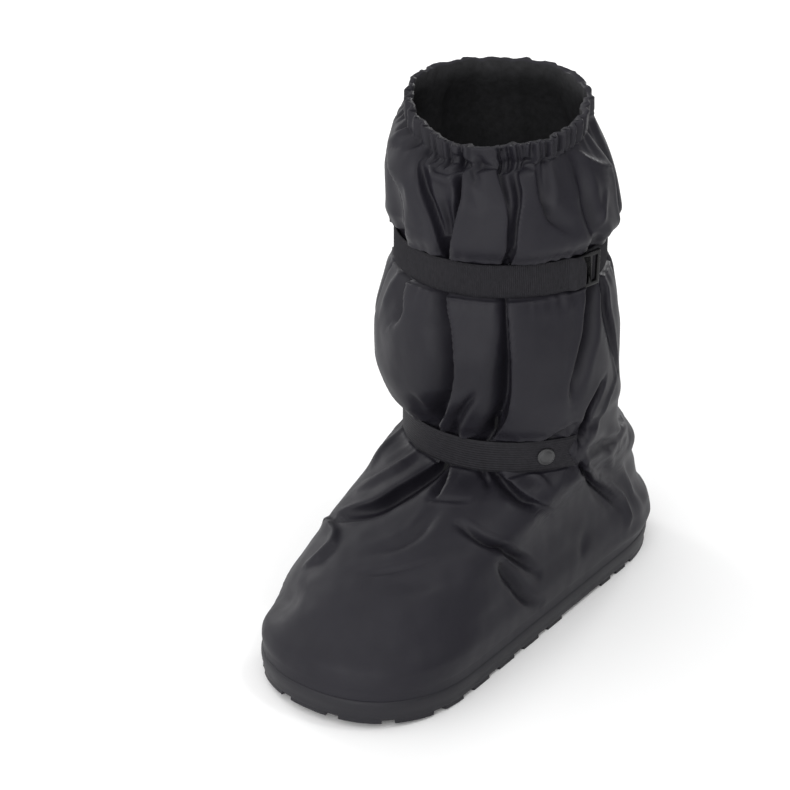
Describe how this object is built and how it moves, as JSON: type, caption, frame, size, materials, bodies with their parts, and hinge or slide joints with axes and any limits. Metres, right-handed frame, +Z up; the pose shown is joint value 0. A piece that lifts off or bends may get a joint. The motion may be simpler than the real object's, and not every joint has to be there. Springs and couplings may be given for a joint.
{
  "type": "rain overshoe",
  "caption": "Left rain overshoe: gathered coated-fabric upper open at the collar, lugged rubber sole, calf strap with a slide buckle and ankle strap with a snap.",
  "frame": {"origin": "on the floor, under the middle of the overshoe's box", "axes": "+Z up along the leg, -Y towards the toe, +X towards the wearer's outer side"},
  "size_m": [0.147, 0.312, 0.32],
  "materials": {
    "moulded_rubber": "matte moulded rubber",
    "insole_board": "plain dark lining board",
    "coated_fabric": "satin waterproof coating",
    "ribbed_webbing": "fine ribbed weave",
    "black_plastic": "smooth with small glints",
    "painted_cap": "dark satin paint"
  },
  "bodies": {
    "root": {"outsole": "moulded_rubber", "insole": "insole_board", "upper": "coated_fabric", "calf_strap": "ribbed_webbing", "calf_buckle": "black_plastic", "ankle_strap": "ribbed_webbing", "ankle_snap": "painted_cap"}
  },
  "joints": []
}
